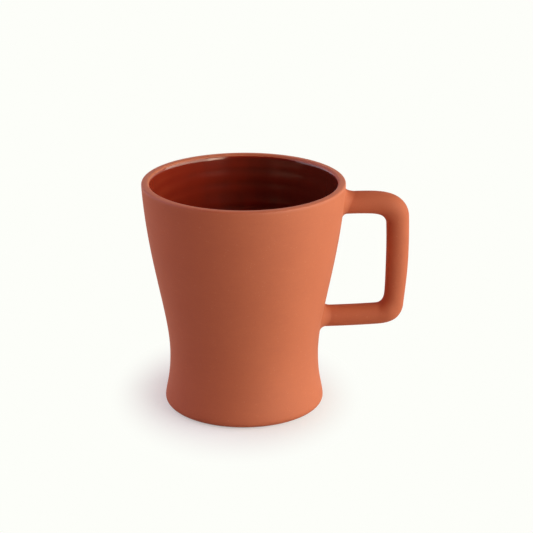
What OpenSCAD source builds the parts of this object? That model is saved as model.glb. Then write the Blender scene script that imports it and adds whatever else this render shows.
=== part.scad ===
// Red clay cup with a squared coil handle, glazed inside.
// Millimetres and degrees. +Z is up, the origin is the centre of the foot on the table,
// and the handle points to +X.

/* [Cup] */
// Height from the table to the top of the lip
cup_h = 100; // [94:1:112]
// Outer diameter of the lip
rim_d = 87.2; // [82:0.2:94]
// Outward lean of the wall at the lip
rim_lean = 4; // [0:0.5:8]
// How far the lean at the lip carries down the wall
rim_pull = 34.5; // [24:0.5:40]
// Outer diameter of the waist
waist_d = 64.6; // [60:0.2:68]
// Height of the waist above the table
waist_z = 22.3; // [19:0.1:26]
// How far the wall stays upright above the waist
waist_rise = 18.5; // [10:0.5:24]
// How far the wall stays upright below the waist
waist_drop = 11.5; // [8:0.5:14]
// Outer diameter of the foot
foot_d = 69; // [64:0.2:74]
// Inward lean of the wall just above the foot
foot_lean = 4; // [0:0.5:8]
// How far the lean at the foot carries up the wall
foot_pull = 4; // [2:0.5:7]
// Radius of the foot's outer edge
foot_round = 2.5; // [1:0.1:4]
// Thickness of the wall, which is also the width of the lip
wall_t = 3.6; // [2.8:0.1:4.6]
// Radius of the lip's outer edge
lip_edge_r = 0.8; // [0.4:0.1:1.2]
// Thickness of the floor
floor_t = 5; // [4:0.1:7]
// Diameter of the level middle of the floor, inside
floor_flat_d = 30; // [20:1:40]
// Diameter of the recess turned under the foot
recess_d = 54; // [44:0.5:57]
// Depth of the recess turned under the foot
recess_depth = 1.5; // [0.6:0.1:2.5]

/* [Glaze] */
// Thickness of the glaze on the inside
glaze_t = 0.4; // [0.25:0.05:0.8]
// Thickness left where the glaze runs out over the lip
glaze_edge_t = 0.1; // [0.05:0.05:0.2]
// Angle of the lip's inner round that the glaze covers
glaze_wrap = 40; // [20:5:70]

/* [Handle] */
// Distance from the lip out to the axis of the grip, at the upper corner
handle_reach = 23.1; // [19:0.1:32]
// Drop from the top of the lip to the upper corner, where the axes of the top bar and the grip cross
top_corner_drop = 11.1; // [10:0.1:16]
// Height of the grip, from the lower corner of the coil's axis to the upper one
grip_h = 49.5; // [44:0.1:55]
// Rise of the top bar towards the cup
top_bar_rise = 3.5; // [0:0.1:6]
// Fall of the low bar towards the cup
low_bar_fall = 3.2; // [0:0.1:6]
// Inward lean of the grip towards its lower end
grip_lean = 1.5; // [0:0.1:4]
// Bend radius of the coil's axis at the upper corner
top_bend = 8.2; // [6.5:0.1:12]
// Bend radius of the coil's axis at the lower corner
low_bend = 6.8; // [6:0.1:12]
// Diameter of the coil where the top bar meets the wall
top_bar_d = 9.7; // [8:0.1:11]
// Diameter of the coil round the upper corner
top_bend_d = 10; // [8:0.1:11]
// Diameter of the coil round the lower corner
low_bend_d = 9.2; // [8:0.1:11]
// Diameter of the coil where the low bar meets the wall
low_bar_d = 9.4; // [8:0.1:11]

/* [Handle joints] */
// Thickness of the bed of luting clay between the handle's ends and the wall
bed_t = 0.5; // [0.3:0.1:1]
// Fillet of luting clay above the top bar
top_fillet_above = 3; // [2:0.1:4]
// Fillet of luting clay below the top bar
top_fillet_below = 3; // [2:0.1:5]
// Fillet of luting clay above the low bar
low_fillet_above = 1.6; // [1:0.1:5]
// Fillet of luting clay below the low bar
low_fillet_below = 3.6; // [2:0.1:6]
// Thickness at which a fillet runs out on the coil
fillet_edge_t = 0.15; // [0.1:0.05:0.3]

/* [Hidden] */

// Facets of round forms, and steps along the curves of the profile
$fn = 180;
coil_facets = 64;
low_wall_steps = 6;
high_wall_steps = 14;
lip_edge_steps = 4;
bare_lip_steps = 4;
glazed_lip_steps = 4;
foot_steps = 5;
well_steps = 9;
fillet_sides = 36;
fillet_steps = 5;
// Pull of a Bezier curve that draws a quarter of an ellipse
QUARTER = 0.5523;
// Shares of a fillet by which its hollow is lifted off the wall and its foot sunk into it, so that it
// meets the wall at an angle
FILLET_LIFT = 0.3;
FILLET_SINK = 0.08;
// Depth to which the luting starts inside the wall before it is cut to it
luting_key = 1.5;
// Length by which a straight run of the coil enters a bend, and how much slimmer it is there
run_lap = 0.3;
run_slim = 0.06;

clay = [0.70, 0.36, 0.24];
luting_clay = [0.66, 0.33, 0.22];
glaze = [0.34, 0.09, 0.05];

// Curves of the profile, as points [radius, height]
function bezier(a, b, c, d, t) =
    pow(1 - t, 3) * a + 3 * pow(1 - t, 2) * t * b + 3 * (1 - t) * t * t * c + pow(t, 3) * d;
function bezier_slope(a, b, c, d, t) =
    pow(1 - t, 2) * (b - a) + 2 * (1 - t) * t * (c - b) + t * t * (d - c);
function unit(v) = v / norm(v);
function turned_left(v) = [-v.y, v.x];
function on_circle(centre, r, angle) = centre + r * [cos(angle), sin(angle)];
function reversed(points) = [for (i = [len(points) - 1 : -1 : 0]) points[i]];

lip_r = wall_t / 2;
lip_centre = [rim_d / 2 - lip_r, cup_h - lip_r];
rim_edge = on_circle(lip_centre, lip_r, -rim_lean);
waist = [waist_d / 2, waist_z];
foot_centre = [foot_d / 2 - foot_round, foot_round];
foot_edge = on_circle(foot_centre, foot_round, foot_lean);
floor_top = recess_depth + floor_t;

low_wall_curve = [
    foot_edge,
    foot_edge + foot_pull * [-sin(foot_lean), cos(foot_lean)],
    waist - [0, waist_drop],
    waist
];
high_wall_curve = [
    waist,
    waist + [0, waist_rise],
    rim_edge - rim_pull * [sin(rim_lean), cos(rim_lean)],
    rim_edge
];
function on_curve(k, t) = bezier(k[0], k[1], k[2], k[3], t);
function inside_curve(k, t, depth) =
    on_curve(k, t) + depth * turned_left(unit(bezier_slope(k[0], k[1], k[2], k[3], t)));

// Outside of the cup, from the foot's edge to the lip's edge
outer_wall = concat(
    [for (i = [0 : low_wall_steps - 1]) on_curve(low_wall_curve, i / low_wall_steps)],
    [for (i = [0 : high_wall_steps]) on_curve(high_wall_curve, i / high_wall_steps)]
);
wall_heights = [for (p = outer_wall) [p.y, p.x]];
function wall_r(z) = lookup(z, wall_heights);

// Inside of the cup at a depth below its outside, from the middle of the floor to the lip's round
function well(depth) =
    let (side = [waist_d / 2 - depth, waist_z], middle = [floor_flat_d / 2, floor_top + depth - wall_t])
    let (across = side.x - middle.x, up = side.y - middle.y)
    [for (i = [0 : well_steps - 1])
        bezier(middle, middle + [QUARTER * across, 0], side - [0, QUARTER * up], side, i / well_steps)];
function inner_wall(depth) = concat(
    [[0, floor_top + depth - wall_t]],
    well(depth),
    [for (i = [0 : high_wall_steps]) inside_curve(high_wall_curve, i / high_wall_steps, depth)]
);

// Lip: a small round at its outer edge, then level to the middle of the wall, then a larger round inside.
// The glaze thins from its full thickness to its edge as it runs over the inner round.
lip_edge_centre = [rim_edge.x - lip_edge_r, cup_h - lip_edge_r];
bare_lip_turn = 90 - rim_lean - glaze_wrap;
bare_lip = concat(
    [for (i = [0 : lip_edge_steps]) on_circle(lip_edge_centre, lip_edge_r, 90 * i / lip_edge_steps)],
    [for (i = [0 : bare_lip_steps]) on_circle(lip_centre, lip_r, 90 + bare_lip_turn * i / bare_lip_steps)]
);
function glazed_lip(full, edge) = [for (i = [1 : glazed_lip_steps])
    let (share = i / glazed_lip_steps)
    on_circle(lip_centre, lip_r + full + (edge - full) * share, 180 - rim_lean - glaze_wrap * share)];

module cup_body() {
    underside = [[0, recess_depth], [recess_d / 2 - recess_depth, recess_depth], [recess_d / 2, 0]];
    foot = [for (i = [0 : foot_steps - 1])
        on_circle(foot_centre, foot_round, -90 + (90 + foot_lean) * i / foot_steps)];
    under_glaze = [for (i = [glazed_lip_steps - 2 : -1 : 0]) glazed_lip(0, 0)[i]];
    outside = concat(underside, foot, outer_wall, bare_lip);
    color(clay)
        rotate_extrude()
            polygon(concat(outside, under_glaze, reversed(inner_wall(wall_t))));
}

module inner_glaze() {
    clay_side = concat(inner_wall(wall_t), glazed_lip(0, 0));
    free_side = concat(inner_wall(wall_t + glaze_t), glazed_lip(glaze_t, glaze_edge_t));
    color(glaze)
        rotate_extrude()
            polygon(concat(clay_side, reversed(free_side)));
}

// Solid of the cup's outside, grown by a gap, which the handle's ends and the luting are cut to
module cup_outside(gap) {
    rotate_extrude()
        polygon(concat(
            [[0, foot_edge.y]],
            [for (p = outer_wall) p + [gap, 0]],
            [[rim_d / 2 + gap, cup_h], [0, cup_h]]
        ));
}

// Axis of the coil in the plane of the handle, as points [x, z]
top_along = [cos(top_bar_rise), -sin(top_bar_rise)];
low_along = [cos(low_bar_fall), sin(low_bar_fall)];
grip_down = [-sin(grip_lean), -cos(grip_lean)];
top_corner = [rim_d / 2 + handle_reach, cup_h - top_corner_drop];
low_corner = top_corner + grip_down * grip_h / cos(grip_lean);
top_turn = 90 + grip_lean - top_bar_rise;
low_turn = 90 - grip_lean - low_bar_fall;
top_tangent = top_bend * tan(top_turn / 2);
low_tangent = low_bend * tan(low_turn / 2);

// Point where the axis of a bar comes out of the wall
function seat_x(corner, along, x, tries) = tries == 0 ? x
    : seat_x(corner, along, wall_r(corner.y + (x - corner.x) * along.y / along.x), tries - 1);
function seat(corner, along) =
    let (x = seat_x(corner, along, waist_d / 2, 6))
    [x, corner.y + (x - corner.x) * along.y / along.x];
top_seat = seat(top_corner, top_along);
low_seat = seat(low_corner, low_along);

// Straight run of the coil between two points of its axis
module coil_run(from, to, d_from, d_to) {
    along = to - from;
    translate([from.x, 0, from.y])
        rotate([0, atan2(along.x, along.y), 0])
            cylinder(h = norm(along), d1 = d_from, d2 = d_to, $fn = coil_facets);
}

// Bend of the coil, over a turn that starts at an angle in the plane of the handle
module coil_bend(centre, start, turn, bend, d) {
    translate([centre.x, 0, centre.y])
        rotate([90, 0, 0])
            rotate([0, 0, start])
                rotate_extrude(angle = turn)
                    translate([bend, 0])
                        circle(d = d, $fn = coil_facets);
}

module handle() {
    top_end = top_corner - top_tangent * top_along;
    grip_top = top_corner + top_tangent * grip_down;
    grip_low = low_corner - low_tangent * grip_down;
    low_end = low_corner - low_tangent * low_along;
    inward = turned_left(grip_down) * -1;
    color(clay)
        difference() {
            union() {
                coil_run(top_seat - wall_t * top_along, top_end + run_lap * top_along,
                    top_bar_d, top_bend_d - run_slim);
                coil_bend(grip_top + top_bend * inward, -grip_lean, top_turn, top_bend, top_bend_d);
                coil_run(grip_top - run_lap * grip_down, grip_low + run_lap * grip_down,
                    top_bend_d - run_slim, low_bend_d - run_slim);
                coil_bend(grip_low + low_bend * inward, low_bar_fall - 90, low_turn, low_bend, low_bend_d);
                coil_run(low_end + run_lap * low_along, low_seat - wall_t * low_along,
                    low_bend_d - run_slim, low_bar_d);
            }
            cup_outside(bed_t);
        }
}

// Luting clay round one end of the handle: a loft from the wall, through the fillet's hollow, to the coil.
// Its rings are given in the bar's own frame: a distance along it, and a radius at an angle from its top.
module luting(seat, along, bar_d, above, below) {
    up = turned_left(along);
    coil_r = bar_d / 2 + fillet_edge_t;
    function reach(a) = (above + below) / 2 + (above - below) / 2 * cos(a);
    function at(s, r, a) =
        [seat.x + s * along.x + r * cos(a) * up.x, r * sin(a), seat.y + s * along.y + r * cos(a) * up.y];
    // distance along the bar to the wall, at a radius and an angle
    function to_wall(r, a, s, tries) = tries == 0 ? s
        : let (p = at(0, r, a), side = sqrt(pow(wall_r(p.z + s * along.y), 2) - p.y * p.y))
          to_wall(r, a, (side - p.x) / along.x, tries - 1);
    function wall_s(r, a) = to_wall(r, a, 0, 4);
    function hollow(a, t) =
        let (far = coil_r + reach(a), near = wall_s(coil_r, a))
        let (start = [wall_s(far, a) - FILLET_SINK * reach(a), far])
        let (corner = [near + FILLET_LIFT * reach(a), coil_r])
        let (end = [near + reach(a), coil_r])
        (1 - t) * (1 - t) * start + 2 * (1 - t) * t * corner + t * t * end;
    function ring_point(a, k) =
        let (p = hollow(a, max(0, k - 1) / fillet_steps))
        at(p.x - (k == 0 ? luting_key : 0), p.y, a);
    rings = fillet_steps + 2;
    points = concat(
        [for (k = [0 : rings - 1], i = [0 : fillet_sides - 1]) ring_point(360 * i / fillet_sides, k)],
        [at(-luting_key, 0, 0), at(min(above, below), 0, 0)]
    );
    function corner_of(k, i) = k * fillet_sides + (i % fillet_sides);
    sides = [for (k = [0 : rings - 2], i = [0 : fillet_sides - 1])
        each [
            [corner_of(k, i), corner_of(k, i + 1), corner_of(k + 1, i + 1)],
            [corner_of(k, i), corner_of(k + 1, i + 1), corner_of(k + 1, i)]
        ]];
    inner_cap = [for (i = [0 : fillet_sides - 1])
        [rings * fillet_sides, corner_of(0, i + 1), corner_of(0, i)]];
    outer_cap = [for (i = [0 : fillet_sides - 1])
        [rings * fillet_sides + 1, corner_of(rings - 1, i), corner_of(rings - 1, i + 1)]];
    color(luting_clay)
        difference() {
            polyhedron(points, concat(sides, inner_cap, outer_cap));
            cup_outside(0);
            handle();
        }
}

module upper_handle_joint() {
    luting(top_seat, top_along, top_bar_d, top_fillet_above, top_fillet_below);
}

module lower_handle_joint() {
    luting(low_seat, low_along, low_bar_d, low_fillet_above, low_fillet_below);
}

cup_body();
inner_glaze();
handle();
upper_handle_joint();
lower_handle_joint();
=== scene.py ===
"""Looks of the red clay cup: thrown body, inside glaze, rolled coil handle and its two luted joints.

Named lengths are millimetres, in the frame of the part, and named angles are degrees. Only the floor, its
shadow and the lamps are in metres.
"""
import math

import bpy
import numpy as np
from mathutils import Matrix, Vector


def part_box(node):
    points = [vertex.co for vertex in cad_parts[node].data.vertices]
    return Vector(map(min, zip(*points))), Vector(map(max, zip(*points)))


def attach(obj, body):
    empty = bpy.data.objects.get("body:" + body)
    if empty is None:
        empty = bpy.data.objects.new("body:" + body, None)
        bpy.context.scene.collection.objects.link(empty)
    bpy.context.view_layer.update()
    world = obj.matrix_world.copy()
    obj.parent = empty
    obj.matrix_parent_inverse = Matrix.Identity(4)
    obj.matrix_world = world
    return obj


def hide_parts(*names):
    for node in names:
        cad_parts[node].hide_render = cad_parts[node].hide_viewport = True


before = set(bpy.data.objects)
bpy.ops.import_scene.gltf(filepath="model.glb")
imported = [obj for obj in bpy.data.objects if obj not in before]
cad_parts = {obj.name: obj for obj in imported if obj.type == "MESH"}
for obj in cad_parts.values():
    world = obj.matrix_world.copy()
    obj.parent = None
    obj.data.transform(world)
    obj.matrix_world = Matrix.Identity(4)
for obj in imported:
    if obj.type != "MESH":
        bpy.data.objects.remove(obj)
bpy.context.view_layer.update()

MM = 0.001
PHOTO_WIDTH = 533
SENSOR = 36.0

# Cup: sizes from the frame, and the curves of the thrown profile

body_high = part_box("cup_body")[1]
CUP_H = body_high.z / MM
RIM_R = min(body_high.x, body_high.y) / MM
WALL_T = 3.6
LIP_R = WALL_T / 2
LIP_EDGE_R = 0.8
LIP_SLOPE = 8.0
LIP_TOP_IN = 2.4
LIP_START = 0.99
RIM_LEAN = 4.0
RIM_PULL = 34.5
WAIST_R = 32.3
WAIST_Z = 22.3
WAIST_RISE = 18.5
WAIST_DROP = 11.5
FOOT_R = 34.5
FOOT_LEAN = 4.0
FOOT_PULL = 4.0
FOOT_ROUND = 2.5
RECESS_R = 27.0
RECESS_DEPTH = 1.5
RECESS_ROUND = 0.5
RECESS_EASE_IN = 0.8
RECESS_EASE_OUT = 0.6
RECESS_FLAT_IN = 1.0
FLOOR_TOP = 6.5
FLOOR_FLAT_R = 15.0
QUARTER = 0.5523

GLAZE_T = 0.4
GLAZE_LIP_T = 0.14
GLAZE_EDGE_T = 0.05
GLAZE_WRAP = 0.48

TURN_STEPS = 192
DENSE_STEPS = (80, 240)
OUTSIDE_STEPS = (22, 56)
CLAY_SIDE_STEPS = (4, 10, 26)
FREE_SIDE_STEPS = (14, 18, 84)
EDGE_STEPS = 9
RECESS_STEPS = 5
LIP_TOP_STEPS = 7
LIP_INNER_STEPS = 15
GLAZE_WRAP_STEPS = (10, 14)
SHARP_ANGLE = 40.0


def polar(angle):
    return np.array([math.cos(math.radians(angle)), math.sin(math.radians(angle))])


def bezier(a, b, c, d, t):
    t = np.asarray(t, float)[..., None]
    return (1 - t) ** 3 * a + 3 * (1 - t) ** 2 * t * b + 3 * (1 - t) * t**2 * c + t**3 * d


def bezier_slope(a, b, c, d, t):
    t = np.asarray(t, float)[..., None]
    return (1 - t) ** 2 * (b - a) + 2 * (1 - t) * t * (c - b) + t**2 * (d - c)


def left_of(slope):
    """Unit vectors a quarter turn to the left of the slopes."""
    return np.stack([-slope[..., 1], slope[..., 0]], axis=-1) / np.linalg.norm(slope, axis=-1)[..., None]


def arc(centre, radius, start, end, steps):
    return np.array([centre + radius * polar(a) for a in np.linspace(start, end, steps)])


LIP_CENTRE = np.array([RIM_R - LIP_R, CUP_H - LIP_R])
RIM_EDGE = LIP_CENTRE + LIP_R * polar(-RIM_LEAN)
WAIST = np.array([WAIST_R, WAIST_Z])
FOOT_CENTRE = np.array([FOOT_R - FOOT_ROUND, FOOT_ROUND])
FOOT_EDGE = FOOT_CENTRE + FOOT_ROUND * polar(FOOT_LEAN)
LOW_WALL = (
    FOOT_EDGE,
    FOOT_EDGE + FOOT_PULL * polar(90 + FOOT_LEAN),
    WAIST - [0, WAIST_DROP],
    WAIST,
)
HIGH_WALL = (WAIST, WAIST + [0, WAIST_RISE], RIM_EDGE - RIM_PULL * polar(90 - RIM_LEAN), RIM_EDGE)


def outer_wall(low_steps, high_steps):
    low = bezier(*LOW_WALL, np.linspace(0, 1, low_steps))
    high = bezier(*HIGH_WALL, np.linspace(0, 1, high_steps))
    return np.vstack([low[:-1], high])


def inner_wall(depth, floor_steps, well_steps, wall_steps):
    """Profile at a depth below the outside, from the middle of the floor to the round of the lip."""
    floor_z = FLOOR_TOP + depth - WALL_T
    middle = np.array([FLOOR_FLAT_R, floor_z])
    side = np.array([WAIST_R - depth, WAIST_Z])
    across, up = side - middle
    floor = np.column_stack([np.linspace(0, FLOOR_FLAT_R, floor_steps), np.full(floor_steps, floor_z)])
    well = bezier(
        middle,
        middle + [QUARTER * across, 0],
        side - [0, QUARTER * up],
        side,
        np.linspace(0, 1, well_steps),
    )
    t = np.linspace(0, LIP_START, wall_steps)
    wall = bezier(*HIGH_WALL, t) + depth * left_of(bezier_slope(*HIGH_WALL, t))
    return np.vstack([floor[:-1], well[:-1], wall])


DENSE_WALL = outer_wall(*DENSE_STEPS)
LIP_TOP = np.array([RIM_R - LIP_TOP_IN, CUP_H])
LIP_FOOT = inner_wall(WALL_T, 2, 2, 2)[-1]
LIP_CURVE = (
    LIP_FOOT,
    LIP_FOOT + QUARTER * (CUP_H - LIP_FOOT[1]) * polar(90 - RIM_LEAN),
    LIP_TOP - [QUARTER * (LIP_TOP[0] - LIP_FOOT[0]), 0],
    LIP_TOP,
)

# Unevenness of a cup thrown by hand: depths, and turns about the axis in radians

OVAL = 0.07
OVAL_TURN = 0.9
WOBBLE = 0.04
WOBBLE_TURN = 2.1
WOBBLE_TWIST = 2.5
LIP_DIP = 0.06
LIP_DIP_TURN = -1.2


def hand_offset(z, theta):
    """Slight out-of-round of a cup thrown by hand, always inwards of the drawn profile."""
    up = np.clip(z / CUP_H, 0, 1)
    oval = OVAL * up * (1 - np.cos(2 * theta + OVAL_TURN)) / 2
    wobble = WOBBLE * (1 - np.cos(3 * theta + WOBBLE_TURN + WOBBLE_TWIST * up)) / 2
    return -(oval + wobble * (0.3 + 0.7 * up))


def lip_dip(z, theta):
    """Slight unevenness of the lip's height."""
    up = np.clip(z / CUP_H, 0, 1)
    return -LIP_DIP * up**6 * (1 - np.cos(2 * theta + LIP_DIP_TURN)) / 2


def wall_radius(z, theta):
    return np.interp(z, DENSE_WALL[:, 1], DENSE_WALL[:, 0]) + hand_offset(z, theta)


# Mesh helpers


def piece(name, points, faces, material):
    mesh = bpy.data.meshes.new(name)
    mesh.from_pydata((np.asarray(points) * MM).tolist(), [], faces)
    mesh.validate()
    mesh.shade_smooth()
    mesh.set_sharp_from_angle(angle=math.radians(SHARP_ANGLE))
    mesh.materials.append(material)
    made = bpy.data.objects.new(name, mesh)
    bpy.context.scene.collection.objects.link(made)
    return made


def turned(profile, relief=None):
    """Points and faces of a closed profile that starts and ends on the axis, turned about Z."""
    theta = np.linspace(0, 2 * math.pi, TURN_STEPS, endpoint=False)
    rings = profile[1:-1]
    r = np.repeat(rings[:, :1], TURN_STEPS, axis=1)
    z = np.repeat(rings[:, 1:], TURN_STEPS, axis=1)
    angle = np.repeat(theta[None], len(rings), axis=0)
    if relief is not None:
        dr, dz = relief(angle)
        r, z = r + dr, z + dz
    share = np.clip(r / FLOOR_FLAT_R, 0, 1)
    r = r + hand_offset(z, angle) * share
    z = z + lip_dip(z, angle)
    points = np.stack([r * np.cos(angle), r * np.sin(angle), z], axis=-1).reshape(-1, 3)
    n = len(rings)
    first, last = n * TURN_STEPS, n * TURN_STEPS + 1
    ends = [[0, 0, profile[0, 1]], [0, 0, profile[-1, 1]]]
    faces = []
    for j in range(TURN_STEPS):
        k = (j + 1) % TURN_STEPS
        faces.append((first, k, j))
        for i in range(n - 1):
            a, b = i * TURN_STEPS, (i + 1) * TURN_STEPS
            faces.append((a + j, a + k, b + k, b + j))
        faces.append(((n - 1) * TURN_STEPS + j, (n - 1) * TURN_STEPS + k, last))
    return np.vstack([points, ends]), faces


# Shader helpers


class Wire:
    """An output socket of a node tree. Arithmetic on it adds Math nodes to that tree."""

    def __init__(self, tree, socket=None):
        self.tree = tree
        self.socket = socket

    def node(self, kind, settings=None, inputs=None, out=0):
        made = self.tree.nodes.new(kind)
        for name, value in (settings or {}).items():
            setattr(made, name, value)
        for name, value in (inputs or {}).items():
            if isinstance(value, Wire):
                self.tree.links.new(value.socket, made.inputs[name])
            else:
                made.inputs[name].default_value = value
        return Wire(self.tree, made.outputs[out] if len(made.outputs) else None)

    def maths(self, operation, a, b):
        return self.node("ShaderNodeMath", {"operation": operation}, {0: a, 1: b})

    def __add__(self, other):
        return self.maths("ADD", self, other)

    __radd__ = __add__

    def __mul__(self, other):
        return self.maths("MULTIPLY", self, other)

    __rmul__ = __mul__

    def __sub__(self, other):
        return self.maths("SUBTRACT", self, other)

    def __rsub__(self, other):
        return self.maths("SUBTRACT", other, self)

    def clamp(self):
        return self.node("ShaderNodeClamp", None, {"Value": self})

    def ease(self, low, high):
        """0 below low, 1 above high, with a smooth step between."""
        return self.node(
            "ShaderNodeMapRange",
            {"interpolation_type": "SMOOTHSTEP"},
            {"Value": self, "From Min": low, "From Max": high},
        )

    def larger(self, other):
        return self.maths("MAXIMUM", self, other)


def colour_mix(share, first, second):
    return share.node("ShaderNodeMix", {"data_type": "RGBA"}, {0: share, 6: first, 7: second}, out=2)


def scaled(place, factors):
    return place.node("ShaderNodeVectorMath", {"operation": "MULTIPLY"}, {0: place, 1: factors})


def axis(place, name):
    """One coordinate of a place or a direction: X, Y or Z."""
    return place.node("ShaderNodeSeparateXYZ", None, {"Vector": place}, out=name)


def noise(place, per_mm, detail=2.0):
    """Noise about 0, from about -0.5 to 0.5, with per_mm features in a millimetre."""
    made = place.node("ShaderNodeTexNoise", None, {"Vector": place, "Scale": per_mm / MM, "Detail": detail})
    return made - 0.5


def new_material(name):
    material = bpy.data.materials.new(name)
    material.use_nodes = True
    material.node_tree.nodes.clear()
    start = Wire(material.node_tree)
    place = start.node("ShaderNodeTexCoord", out="Object")
    return material, start, place


def finish_material(start, surface):
    start.node("ShaderNodeOutputMaterial", None, {"Surface": surface})


def rgba(red, green, blue):
    return (red, green, blue, 1.0)


# Finishes

CLAY_DEEP = rgba(0.514, 0.130, 0.049)
CLAY_WARM = rgba(0.611, 0.171, 0.065)
CLAY_FOOT = rgba(0.459, 0.107, 0.039)
GROG = rgba(0.640, 0.270, 0.140)
CLOUD_PER_MM = 0.045
MOTTLE_PER_MM = 0.33
GRAIN_PER_MM = 2.4
DRAG_PER_MM = 1.3
GROG_PER_MM = 0.75
SMEAR_PER_MM = 0.55
CLAY_BUMP = 0.05
CLAY_BUMP_STRENGTH = 0.35
CLAY_ROUGH = 0.76
LIP_SMOOTHER = 0.18
DRAG_STRETCH = (0.08, 0.08, 1.0)
SMEAR_STRETCH = (0.25, 1.0, 0.6)
SPECK_EDGE = (0.10, 0.22)
SPECK_PATCH = (0.02, 0.12)
FOOT_DARK = (0.6, 3.2)
LIP_WIPED = (2.5, 0.5)


def fired_clay(name, warmth, sheen, smear=0.0):
    """Bare red clay: matte, slightly clouded, with fine grog and the drag of a wet sponge."""
    material, start, place = new_material(name)
    cloud = noise(place, CLOUD_PER_MM, 3.0)
    mottle = noise(place, MOTTLE_PER_MM, 3.0)
    grain = noise(place, GRAIN_PER_MM)
    drag = noise(scaled(place, DRAG_STRETCH), DRAG_PER_MM)
    grog_inputs = {"Vector": place, "Scale": GROG_PER_MM / MM}
    grog = start.node("ShaderNodeTexVoronoi", {"feature": "F1"}, grog_inputs)
    speck = (1 - grog.ease(*SPECK_EDGE)) * mottle.ease(*SPECK_PATCH)
    height = axis(place, "Z")
    # Clay darker towards the foot, in its lowest few millimetres.
    foot = 1 - height.ease(FOOT_DARK[0] * MM, FOOT_DARK[1] * MM)
    wiped_lip = height.ease((CUP_H - LIP_WIPED[0]) * MM, (CUP_H - LIP_WIPED[1]) * MM)
    tone = (warmth + cloud * 0.55 + mottle * 0.35 + grain * 0.75 + drag * 0.2).clamp()
    colour = colour_mix(tone, CLAY_DEEP, CLAY_WARM)
    colour = colour_mix(speck * 0.35, colour, GROG)
    colour = colour_mix(foot * 0.55, colour, CLAY_FOOT)
    roughness = (CLAY_ROUGH - wiped_lip * LIP_SMOOTHER + mottle * 0.12 + grain * 0.16).clamp()
    relief = grain * 0.5 + mottle * 0.5 + drag * 0.12 + speck * 0.2
    if smear:
        streak = noise(scaled(place, SMEAR_STRETCH), SMEAR_PER_MM)
        relief = relief + streak * smear
    bump_inputs = {"Height": relief, "Strength": CLAY_BUMP_STRENGTH, "Distance": CLAY_BUMP * MM}
    bump = start.node("ShaderNodeBump", None, bump_inputs)
    surface = start.node(
        "ShaderNodeBsdfPrincipled",
        None,
        {"Base Color": colour, "Roughness": roughness, "Normal": bump, "Specular IOR Level": sheen},
    )
    finish_material(start, surface)
    return material


# Glaze colours. The darkest one serves thick glaze and also the painted shade on the inside towards +X.
GLAZE_THIN = rgba(0.420, 0.064, 0.024)
GLAZE_FULL = rgba(0.265, 0.022, 0.008)
GLAZE_POOLED_AND_SHADE = rgba(0.103, 0.0155, 0.0075)
GLAZE_SHINE = rgba(1.0, 0.86, 0.72)
GLAZE_IOR = 1.6
GLAZE_CLOUD_PER_MM = 0.08
GLAZE_STREAK_PER_MM = 0.22
GLAZE_PEEL_PER_MM = 0.45
GLAZE_BUMP = 0.02
GLAZE_BUMP_STRENGTH = 0.3
GLAZE_ROUGH = 0.14
GLAZE_STREAK_STRETCH = (1.0, 1.0, 0.25)
FULL_BETWEEN = (0.20, 0.75)
POOLED_AND_SHADE_BETWEEN = (0.66, 1.36)


def red_glaze(name):
    """Glossy red-brown glaze: dark where it lies thick, and near the clay's colour where it runs out. It is
    also darker towards +X and lighter towards -X, which is painted shade and painted light.
    """
    material, start, place = new_material(name)
    # The depth attribute holds the glaze's thickness and also painted shade and painted light from side to
    # side.
    depth = start.node("ShaderNodeAttribute", {"attribute_name": "glaze_depth_and_painted_shade"}, out="Fac")
    cloud = noise(place, GLAZE_CLOUD_PER_MM, 3.0)
    streak = noise(scaled(place, GLAZE_STREAK_STRETCH), GLAZE_STREAK_PER_MM)
    peel = noise(place, GLAZE_PEEL_PER_MM, 1.0)
    full = (depth + cloud * 0.10 + streak * 0.08).ease(*FULL_BETWEEN)
    pooled_and_shade = (depth + cloud * 0.25 + streak * 0.25).ease(*POOLED_AND_SHADE_BETWEEN)
    colour = colour_mix(full, GLAZE_THIN, GLAZE_FULL)
    colour = colour_mix(pooled_and_shade, colour, GLAZE_POOLED_AND_SHADE)
    roughness = (GLAZE_ROUGH + cloud * 0.06 + peel * 0.03).clamp()
    bump_inputs = {"Height": peel, "Strength": GLAZE_BUMP_STRENGTH, "Distance": GLAZE_BUMP * MM}
    bump = start.node("ShaderNodeBump", None, bump_inputs)
    surface = start.node(
        "ShaderNodeBsdfPrincipled",
        None,
        {
            "Base Color": colour,
            "Roughness": roughness,
            "Normal": bump,
            "IOR": GLAZE_IOR,
            "Specular Tint": GLAZE_SHINE,
        },
    )
    finish_material(start, surface)
    return material


body_clay = fired_clay("body_clay", warmth=0.5, sheen=0.48)
coil_clay = fired_clay("coil_clay", warmth=0.1, sheen=0.36)
luting_clay = fired_clay("luting_clay", warmth=0.35, sheen=0.40, smear=0.5)
inside_glaze = red_glaze("inside_glaze")

# Thrown cup


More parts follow.
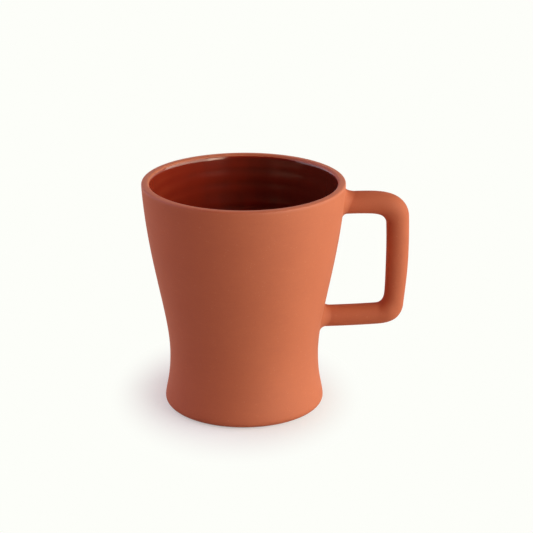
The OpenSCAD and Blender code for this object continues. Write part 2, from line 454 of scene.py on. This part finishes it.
def thrown_cup():
    recess_edge = RECESS_R - RECESS_DEPTH
    under = [
        np.array([[r, RECESS_DEPTH] for r in np.linspace(0, recess_edge - RECESS_FLAT_IN, RECESS_STEPS)]),
        bezier(
            np.array([recess_edge - RECESS_EASE_IN, RECESS_DEPTH]),
            np.array([recess_edge, RECESS_DEPTH]),
            np.array([recess_edge, RECESS_DEPTH]),
            np.array([recess_edge + RECESS_EASE_OUT, RECESS_DEPTH - RECESS_EASE_OUT]),
            np.linspace(0, 1, RECESS_STEPS),
        ),
        bezier(
            np.array([RECESS_R - RECESS_ROUND, RECESS_ROUND]),
            np.array([RECESS_R, 0]),
            np.array([RECESS_R, 0]),
            np.array([RECESS_R + RECESS_ROUND, 0]),
            np.linspace(0, 1, RECESS_STEPS),
        ),
        arc(FOOT_CENTRE, FOOT_ROUND, -90, FOOT_LEAN, EDGE_STEPS)[:-1],
    ]
    outside = outer_wall(*OUTSIDE_STEPS)
    slope = math.radians(LIP_SLOPE)
    edge_x = RIM_EDGE[0] - LIP_EDGE_R
    half_top = (edge_x + LIP_EDGE_R * math.sin(slope) - LIP_TOP[0]) / 2
    edge_z = CUP_H - half_top * math.tan(slope) - LIP_EDGE_R * math.cos(slope)
    lip_edge = arc(np.array([edge_x, edge_z]), LIP_EDGE_R, 0, 90 - LIP_SLOPE, EDGE_STEPS)
    crown = LIP_TOP + [half_top, 0]
    lip_top = bezier(
        lip_edge[-1],
        (lip_edge[-1] + 2 * crown) / 3,
        (LIP_TOP + 2 * crown) / 3,
        LIP_TOP,
        np.linspace(0, 1, LIP_TOP_STEPS),
    )[1:]
    lip_inner = bezier(*LIP_CURVE, np.linspace(1, 0, LIP_INNER_STEPS))[1:-1]
    inside = inner_wall(WALL_T, *CLAY_SIDE_STEPS)[::-1]
    points, faces = turned(np.vstack([*under, outside, lip_edge, lip_top, lip_inner, inside]))
    return piece("thrown_cup", points, faces, body_clay)


# Inside glaze

RING_PITCH = 5.6
RING_PITCH_FINE = 3.4
RING_DEPTH = 0.05
RING_DEPTH_FINE = 0.015
RING_TINT = 0.08
RING_FADE = 3.0
THINS_BELOW_LIP = 10.0
THINS_OVER = 8.0
# Painted shade and light on the glaze: deeper towards +X, the inside that faces away from the key lamp, and
# shallower towards -X, the inside that the key lamp lights.
PAINTED_SHADE_SIDE = 0.42
PAINTED_SHADE_ANGLE = 0.0


def glaze_coat():
    """The glaze: its clay side, its edge on the lip and its free side with the throwing rings."""
    clay_wrap = GLAZE_WRAP * np.linspace(0, 1, GLAZE_WRAP_STEPS[0])[1:]
    clay_side = np.vstack([inner_wall(WALL_T, *CLAY_SIDE_STEPS), bezier(*LIP_CURVE, clay_wrap)])
    wall = inner_wall(WALL_T + GLAZE_T, *FREE_SIDE_STEPS)
    backing = inner_wall(WALL_T, *FREE_SIDE_STEPS)
    rise = np.clip((wall[:, 1:] - CUP_H + THINS_BELOW_LIP) / THINS_OVER, 0, 1)
    wall = wall + (backing - wall) * (1 - GLAZE_LIP_T / GLAZE_T) * rise**2 * (3 - 2 * rise)
    wrap = np.linspace(0, 1, GLAZE_WRAP_STEPS[1])[1:]
    thick = GLAZE_EDGE_T + (GLAZE_LIP_T - GLAZE_EDGE_T) * (1 - wrap**4)
    lip = bezier(*LIP_CURVE, GLAZE_WRAP * wrap)
    lip = lip + thick[:, None] * left_of(bezier_slope(*LIP_CURVE, GLAZE_WRAP * wrap))
    free_side = np.vstack([wall, lip])
    profile = np.vstack([clay_side, free_side[::-1]])
    travel = np.concatenate([[0], np.cumsum(np.linalg.norm(np.diff(free_side, axis=0), axis=1))])
    wall_end = travel[len(wall) - 1]
    ringed = np.interp(travel, [0, RING_FADE, wall_end - RING_FADE, wall_end], [0, 1, 1, 0])
    off_wall = left_of(np.gradient(free_side, axis=0))

    def rings(angle):
        """Swell of the spiral ridges that the fingers leave, in millimetres, over the free side."""
        s = travel[:, None]
        fade = 0.7 + 0.3 * np.sin(angle + 0.35 * s)
        broad = np.sin(2 * math.pi * s / RING_PITCH + angle + 0.6 * np.sin(2 * angle))
        fine = np.sin(2 * math.pi * s / RING_PITCH_FINE + angle + 1.3)
        return ringed[:, None] * fade * (RING_DEPTH * broad + RING_DEPTH_FINE * fine)

    theta = np.linspace(0, 2 * math.pi, TURN_STEPS, endpoint=False)[None]
    swell = rings(theta)

    def relief(angle):
        dr, dz = np.zeros(angle.shape), np.zeros(angle.shape)
        free = slice(len(clay_side) - 1, None)
        back = swell[1:][::-1]
        dr[free] = back * off_wall[1:, :1][::-1]
        dz[free] = back * off_wall[1:, 1:][::-1]
        return dr, dz

    points, faces = turned(profile, relief)
    made = piece("glaze_coat", points, faces, inside_glaze)
    coat = np.concatenate([np.ones(len(wall)), 1 - wrap**6])
    # Painted shade: the glaze's depth is raised towards +X, the shaded inside, and lowered towards -X, the
    # lit inside.
    run = PAINTED_SHADE_SIDE * np.cos(theta - math.radians(PAINTED_SHADE_ANGLE))
    depth = coat[:, None] * (1 + run) - swell * RING_TINT / RING_DEPTH
    clay_depth = np.zeros((len(clay_side) - 1, TURN_STEPS))
    values = np.concatenate([clay_depth.ravel(), depth[1:][::-1].ravel(), [0.0, 1.0]])
    layer = made.data.attributes.new("glaze_depth_and_painted_shade", "FLOAT", "POINT")
    layer.data.foreach_set("value", values.astype(np.float32))
    return made


# Rolled coil handle

TOP_BAR_AT = np.array([58.0, 89.59])
TOP_BAR_SLOPE = -1.77
TOP_BAR_LIFT = -0.5
LOW_BAR_AT = np.array([58.0, 38.93])
LOW_BAR_SLOPE = 3.15
LOW_BAR_LIFT = 0.55
GRIP_AT = np.array([65.61, 65.0])
GRIP_LEAN = 1.58
GRIP_BOW = 0.67
TOP_BEND_ALONG_BAR = 11.76
TOP_BEND_ALONG_GRIP = 6.67
TOP_BEND_PULL = 0.62
LOW_BEND_ALONG_GRIP = 4.67
LOW_BEND_ALONG_BAR = 7.39
LOW_BEND_PULL = 0.57
COIL_R_TOP = 4.83
COIL_R_TOP_BEND = (4.91, 5.22, 4.95)
COIL_R_GRIP = 4.82
COIL_R_LOW_BEND = (4.38, 5.04, 4.68)
COIL_R_LOW = 4.70
COIL_SIDES = 56
BEND_STEPS = 33
BAR_STEPS = 13
TOP_EASE = (6, 2)
TOP_INSIDE_PULL = 0.62
LOW_EASE = (4, 0)
LOW_INSIDE_PULL = 0.72
BED = 0.3
SEAT_STEPS = 20
WALL_STEPS = 30

top_along = polar(TOP_BAR_SLOPE)
low_along = polar(LOW_BAR_SLOPE)
grip_up = polar(90 - GRIP_LEAN)


def crossing(at, along, other_at, other_along):
    shares = np.linalg.solve(np.column_stack([along, -other_along]), other_at - at)
    return at + shares[0] * along


top_corner = crossing(TOP_BAR_AT, top_along, GRIP_AT, grip_up)
low_corner = crossing(LOW_BAR_AT, low_along, GRIP_AT, grip_up)
top_bend_start = top_corner - TOP_BEND_ALONG_BAR * top_along
top_bend_end = top_corner - TOP_BEND_ALONG_GRIP * grip_up
low_bend_start = low_corner + LOW_BEND_ALONG_GRIP * grip_up
low_bend_end = low_corner - LOW_BEND_ALONG_BAR * low_along


class Bar:
    """A straight end of the coil: its axis from the wall outwards, and points on its round."""

    def __init__(self, bend_end, along, bend_radius, wall_radius_here, wall_lift):
        self.along = along
        self.wall_lift = wall_lift
        self.up = np.array([-along[1], along[0]])
        x = WAIST_R
        for _ in range(SEAT_STEPS):
            z = bend_end[1] + (x - bend_end[0]) * along[1] / along[0]
            x = float(wall_radius(z, 0.0))
        self.seat = np.array([x, bend_end[1] + (x - bend_end[0]) * along[1] / along[0]])
        self.length = float(np.dot(bend_end - self.seat, along))
        self.radii = (wall_radius_here, bend_radius)

    def radius(self, s):
        share = np.clip(s / self.length, 0, 1)
        return self.radii[0] + (self.radii[1] - self.radii[0]) * share

    def at(self, s, r, angle):
        """Point a distance s along the axis, at radius r and an angle from the top of the bar."""
        lift = self.wall_lift * np.clip(1 - s / self.length, 0, None) ** 2
        x = self.seat[0] + s * self.along[0] + (lift + r * np.cos(angle)) * self.up[0]
        z = self.seat[1] + s * self.along[1] + (lift + r * np.cos(angle)) * self.up[1]
        return np.stack(np.broadcast_arrays(x, r * np.sin(angle), z), axis=-1)

    def to_wall(self, r, angle, lift=0.0):
        """Distance along the axis at which a line at radius r and angle meets the cup's outside."""
        s = np.zeros(np.broadcast(r, angle).shape)
        for _ in range(WALL_STEPS):
            p = self.at(s, r, angle)
            reach = np.hypot(p[..., 0], p[..., 1])
            gap = reach - wall_radius(p[..., 2], np.arctan2(p[..., 1], p[..., 0])) - lift
            s = s - gap
        return s


top_bar = Bar(top_bend_start, top_along, COIL_R_TOP_BEND[0], COIL_R_TOP, TOP_BAR_LIFT)
low_bar = Bar(low_bend_end, low_along, COIL_R_LOW_BEND[2], COIL_R_LOW, LOW_BAR_LIFT)


def smooth_through(knots, values, at):
    """Monotone cubic through the values, so that the coil swells and thins without ripples."""
    knots, values = np.asarray(knots, float), np.asarray(values, float)
    width = np.diff(knots)
    rise = np.diff(values) / width
    slope = np.zeros(len(knots))
    for i in range(1, len(knots) - 1):
        if rise[i - 1] * rise[i] > 0:
            w1, w2 = 2 * width[i] + width[i - 1], width[i] + 2 * width[i - 1]
            slope[i] = (w1 + w2) / (w1 / rise[i - 1] + w2 / rise[i])
    k = np.clip(np.searchsorted(knots, at) - 1, 0, len(knots) - 2)
    t = (at - knots[k]) / width[k]
    return (
        (2 * t**3 - 3 * t**2 + 1) * values[k]
        + (t**3 - 2 * t**2 + t) * width[k] * slope[k]
        + (3 * t**2 - 2 * t**3) * values[k + 1]
        + (t**3 - t**2) * width[k] * slope[k + 1]
    )


def coil_axis():
    """Stations [x, z] and radii of the coil between the two straight bars."""
    steps = np.linspace(0, 1, BEND_STEPS + 1)
    top = bezier(
        top_bend_start,
        top_corner - TOP_BEND_ALONG_BAR * (1 - TOP_BEND_PULL) * top_along,
        top_corner - TOP_BEND_ALONG_GRIP * (1 - TOP_BEND_PULL) * grip_up,
        top_bend_end,
        steps,
    )
    outward = np.array([grip_up[1], -grip_up[0]])
    t = steps[:, None]
    grip = top_bend_end * (1 - t) + low_bend_start * t + GRIP_BOW * 4 * t * (1 - t) * outward
    low = bezier(
        low_bend_start,
        low_corner + LOW_BEND_ALONG_GRIP * (1 - LOW_BEND_PULL) * grip_up,
        low_corner - LOW_BEND_ALONG_BAR * (1 - LOW_BEND_PULL) * low_along,
        low_bend_end,
        steps,
    )
    stations = np.vstack([top[:-1], grip[:-1], low])
    run = np.concatenate([steps[:-1], 1 + steps[:-1], 2 + steps])
    radii = smooth_through(
        [0, 0.5, 1, 1.5, 2, 2.5, 3],
        [*COIL_R_TOP_BEND, COIL_R_GRIP, *COIL_R_LOW_BEND],
        run,
    )
    return stations, radii


def coil_sides(stations, radii):
    """Outer and inner sides of the bent coil, with the inside of each bend eased to a round."""
    slope = np.gradient(stations, axis=0)
    away = left_of(slope) * radii[:, None]
    outer, inner = stations + away, stations - away
    last = len(stations) - 1
    for start, end, pull in (
        (TOP_EASE[0], BEND_STEPS + TOP_EASE[1], TOP_INSIDE_PULL),
        (last - BEND_STEPS - LOW_EASE[0], last - LOW_EASE[1], LOW_INSIDE_PULL),
    ):
        corner = crossing(inner[start], slope[start], inner[end], slope[end])
        first, second = inner[start], inner[end]
        inner[start : end + 1] = bezier(
            first,
            first + pull * (corner - first),
            second + pull * (corner - second),
            second,
            np.linspace(0, 1, end + 1 - start),
        )
    return outer, inner


def coil_handle():
    angles = np.linspace(0, 2 * math.pi, COIL_SIDES, endpoint=False)
    rings = []

    def bar_rings(bar):
        cope = bar.to_wall(bar.radii[0], angles, BED)
        made = []
        for t in np.linspace(0, 1, BAR_STEPS + 1)[:-1]:
            s = cope * (1 - t) + bar.length * t
            made.append(bar.at(s, bar.radius(s), angles))
        middle = bar.at(float(bar.to_wall(0.0, 0.0, BED)), 0.0, 0.0)
        return made, middle

    top_rings, top_middle = bar_rings(top_bar)
    low_rings, low_middle = bar_rings(low_bar)
    rings.extend(top_rings)
    stations, radii = coil_axis()
    outer, inner = coil_sides(stations, radii)
    for far, near, radius in zip(outer, inner, radii):
        x, z = (np.outer(1 + np.cos(angles), far) / 2 + np.outer(1 - np.cos(angles), near) / 2).T
        rings.append(np.stack([x, radius * np.sin(angles), z], axis=-1))
    for ring in reversed(low_rings):
        # the low bar is drawn outwards, so its round is turned to go on from the grip's
        rings.append(ring[(COIL_SIDES // 2 - np.arange(COIL_SIDES)) % COIL_SIDES])
    n = len(rings)
    points = np.vstack([*rings, [top_middle], [low_middle]])
    faces = []
    for j in range(COIL_SIDES):
        k = (j + 1) % COIL_SIDES
        faces.append((n * COIL_SIDES, k, j))
        for i in range(n - 1):
            a, b = i * COIL_SIDES, (i + 1) * COIL_SIDES
            faces.append((a + j, a + k, b + k, b + j))
        faces.append(((n - 1) * COIL_SIDES + j, (n - 1) * COIL_SIDES + k, n * COIL_SIDES + 1))
    return piece("coil_handle", points, faces, coil_clay)


# Luted joints

JOINT_SIDES = 80
FILLET_STEPS = 16
FILLET_PULL = (0.55, 0.40, 0.62)
FEATHER = 0.02
LUTING_KEY = 0.5
PROBE = 0.1

# Reach of each fillet above, beside and below its bar

UPPER_ON_WALL = (2.0, 2.6, 1.8)
UPPER_ON_BAR = (5.0, 3.0, 2.2)
LOWER_ON_WALL = (0.8, 3.2, 2.0)
LOWER_ON_BAR = (3.0, 4.2, 2.2)


def round_about(above, beside, below, angle):
    """A length that is above at the top of a bar, beside at its sides and below at its bottom."""
    mean = (above + below + 2 * beside) / 4
    return mean + (above - below) / 2 * np.cos(angle) + (above + below - 2 * beside) / 4 * np.cos(2 * angle)


def luted_joint(name, bar, on_wall, on_bar):
    """Luting clay smoothed from the wall onto the bar, with its two edges run out to nothing."""
    angle = np.linspace(0, 2 * math.pi, JOINT_SIDES, endpoint=False)
    wall_reach = round_about(*on_wall, angle)
    bar_reach = round_about(*on_bar, angle)[:, None]
    pull = round_about(*FILLET_PULL, angle)[:, None]
    foot_r = bar.radii[0] + wall_reach

    def on_cup(r, lift):
        return bar.at(bar.to_wall(r, angle, lift), r, angle)

    start = on_cup(foot_r, -FEATHER)
    inwards = on_cup(foot_r - PROBE, -FEATHER) - start
    inwards = inwards / np.linalg.norm(inwards, axis=-1)[:, None]
    corner_s = bar.to_wall(bar.radii[0], angle)
    corner = bar.at(corner_s, bar.radii[0], angle)
    end_s = corner_s + bar_reach[:, 0]
    end_r = bar.radius(end_s) - FEATHER
    end = bar.at(end_s, end_r, angle)
    along = bar.at(end_s + PROBE, bar.radius(end_s + PROBE) - FEATHER, angle) - end
    along = along / np.linalg.norm(along, axis=-1)[:, None]
    wall_leg = np.linalg.norm(corner - start, axis=-1)[:, None]
    t = np.linspace(0, 1, FILLET_STEPS)
    rings = [
        (1 - u) ** 3 * start
        + 3 * (1 - u) ** 2 * u * (start + pull * wall_leg * inwards)
        + 3 * (1 - u) * u**2 * (end - pull * bar_reach * along)
        + u**3 * end
        for u in t
    ]
    rings.append(bar.at(end_s, end_r - LUTING_KEY, angle))
    rings.append(on_cup(bar.radii[0] - LUTING_KEY, -LUTING_KEY))
    rings.append(on_cup(foot_r, -LUTING_KEY))
    points = np.vstack(rings)
    n = len(rings)
    faces = []
    for i in range(n):
        a, b = i * JOINT_SIDES, ((i + 1) % n) * JOINT_SIDES
        for j in range(JOINT_SIDES):
            k = (j + 1) % JOINT_SIDES
            faces.append((a + j, a + k, b + k, b + j))
    return piece(name, points, faces, luting_clay)


cup = thrown_cup()
coat = glaze_coat()
handle = coil_handle()
upper_joint = luted_joint("upper_luting", top_bar, UPPER_ON_WALL, UPPER_ON_BAR)
lower_joint = luted_joint("lower_luting", low_bar, LOWER_ON_WALL, LOWER_ON_BAR)

for made, node, slot in (
    (cup, "cup_body", "red_clay"),
    (coat, "inner_glaze", "red_brown_glaze"),
    (handle, "handle", "red_clay"),
    (upper_joint, "upper_handle_joint", "luting_clay"),
    (lower_joint, "lower_handle_joint", "luting_clay"),
):
    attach(made, "root")
    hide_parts(node)

# Studio, in metres

WHITE = rgba(0.982, 0.991, 0.947)
ROOM = rgba(1.0, 0.11, 0.16)
FLOOR_SIZE = 6.0
FLOOR_ALBEDO = 0.65
FLOOR_SHADE = rgba(0.710, 0.762, 0.760)
FLOOR_GLOW = 0.29
SHADOW_CENTRE = (-0.0035, 0.0055, 0.0)
SHADOW_SQUEEZE = (1.38, 1.0, 1.0)
SHADOW_NEAR = 0.030
SHADOW_FAR = 0.078
AMBIENT = 0.18
WHITE_BACK = (0.1, 0.5)
WHITE_RIGHT = (-0.5, -0.2)
LAMP_AWAY = 1.0


def rays(start):
    """What asks for a colour: the camera, a mirrored ray or a ray through clear matter."""
    kinds = ("Camera", "Glossy", "Transmission")
    return [start.node("ShaderNodeLightPath", out=f"Is {kind} Ray") for kind in kinds]


def white_floor():
    material = bpy.data.materials.new("white_floor")
    material.use_nodes = True
    material.node_tree.nodes.clear()
    start = Wire(material.node_tree)
    seen, mirrored, through = rays(start)
    shown = seen.larger(mirrored).larger(through)
    place = start.node("ShaderNodeTexCoord", out="Object")
    aside = start.node("ShaderNodeVectorMath", {"operation": "SUBTRACT"}, {0: place, 1: SHADOW_CENTRE})
    aside = scaled(aside, SHADOW_SQUEEZE)
    away = start.node("ShaderNodeVectorMath", {"operation": "LENGTH"}, {0: aside}, out="Value")
    far = away.ease(SHADOW_NEAR, SHADOW_FAR)
    shaded = start.node("ShaderNodeBsdfDiffuse", None, {"Color": FLOOR_SHADE})
    glow = start.node("ShaderNodeEmission", None, {"Color": WHITE, "Strength": FLOOR_GLOW})
    near = start.node("ShaderNodeAddShader", None, {0: shaded, 1: glow})
    plain = start.node("ShaderNodeEmission", None, {"Color": WHITE, "Strength": 1.0})
    seen_floor = start.node("ShaderNodeMixShader", None, {0: far, 1: near, 2: plain})
    lit = start.node("ShaderNodeBsdfDiffuse", None, {"Color": rgba(*[FLOOR_ALBEDO] * 3)})
    finish_material(start, start.node("ShaderNodeMixShader", None, {0: shown, 1: lit, 2: seen_floor}))
    half = FLOOR_SIZE / 2
    mesh = bpy.data.meshes.new("studio_floor")
    corners = [(-half, -half, 0), (half, -half, 0), (half, half, 0), (-half, half, 0)]
    mesh.from_pydata(corners, [], [(0, 1, 2, 3)])
    mesh.materials.append(material)
    made = bpy.data.objects.new("studio_floor", mesh)
    bpy.context.scene.collection.objects.link(made)


def white_world():
    world = bpy.data.worlds.new("white_studio")
    world.use_nodes = True
    world.node_tree.nodes.clear()
    start = Wire(world.node_tree)
    seen, mirrored, through = rays(start)
    towards = start.node("ShaderNodeTexCoord", out="Generated")
    back = axis(towards, "Y").ease(*WHITE_BACK)
    right = axis(towards, "X").ease(*WHITE_RIGHT)
    shown = seen.larger(back * right * mirrored.larger(through))
    dim = start.node("ShaderNodeBackground", None, {"Color": ROOM, "Strength": AMBIENT})
    white = start.node("ShaderNodeBackground", None, {"Color": WHITE, "Strength": 1.0})
    both = start.node("ShaderNodeMixShader", None, {0: shown, 1: dim, 2: white})
    start.node("ShaderNodeOutputWorld", None, {"Surface": both})
    bpy.context.scene.world = world


def softbox(name, azimuth, elevation, width, height, radiance, colour):
    """An area lamp that faces the cup. Azimuth is counted from the camera's side, -Y, towards +X."""
    lamp = bpy.data.lights.new(name, "AREA")
    lamp.shape = "RECTANGLE"
    lamp.size, lamp.size_y = width, height
    lamp.energy = radiance * math.pi * width * height
    lamp.color = colour
    made = bpy.data.objects.new(name, lamp)
    bpy.context.scene.collection.objects.link(made)
    a, e = math.radians(azimuth), math.radians(elevation)
    made.location = (
        LAMP_AWAY * math.sin(a) * math.cos(e),
        -LAMP_AWAY * math.cos(a) * math.cos(e),
        CUP_H / 2 * MM + LAMP_AWAY * math.sin(e),
    )
    made.rotation_euler = (math.radians(90 - elevation), 0, a)
    made.visible_camera = False
    return made


# Camera, fitted to the outlines in the photo

CAMERA_SIDE = -2.0
CAMERA_AWAY = 872.9
CAMERA_HEIGHT = 369.1
CAMERA_PITCH = 19.424
CAMERA_YAW = 0.640
FOCAL_PIXELS = 2145.4


def photo_camera():
    data = bpy.data.cameras.new("photo_camera")
    data.sensor_width = SENSOR
    data.lens = FOCAL_PIXELS / PHOTO_WIDTH * SENSOR
    made = bpy.data.objects.new("photo_camera", data)
    bpy.context.scene.collection.objects.link(made)
    side = math.radians(CAMERA_SIDE)
    made.location = (
        CAMERA_AWAY * MM * math.sin(side),
        -CAMERA_AWAY * MM * math.cos(side),
        CAMERA_HEIGHT * MM,
    )
    made.rotation_euler = (math.radians(90 - CAMERA_PITCH), 0, math.radians(CAMERA_SIDE - CAMERA_YAW))
    bpy.context.scene.camera = made


white_floor()
white_world()
softbox(
    "key_softbox",
    azimuth=71,
    elevation=14,
    width=1.6,
    height=0.95,
    radiance=3.9,
    colour=(0.96, 1.02, 0.97),
)
softbox(
    "back_softbox",
    azimuth=-111,
    elevation=28,
    width=1.4,
    height=0.7,
    radiance=1.8,
    colour=(0.88, 0.90, 1.14),
)
edge = softbox(
    "key_edge_softbox",
    azimuth=33,
    elevation=20,
    width=0.36,
    height=0.85,
    radiance=4.4,
    colour=(1.0, 0.86, 0.74),
)
edge.visible_diffuse = False
photo_camera()
bpy.context.scene.view_settings.view_transform = "Standard"
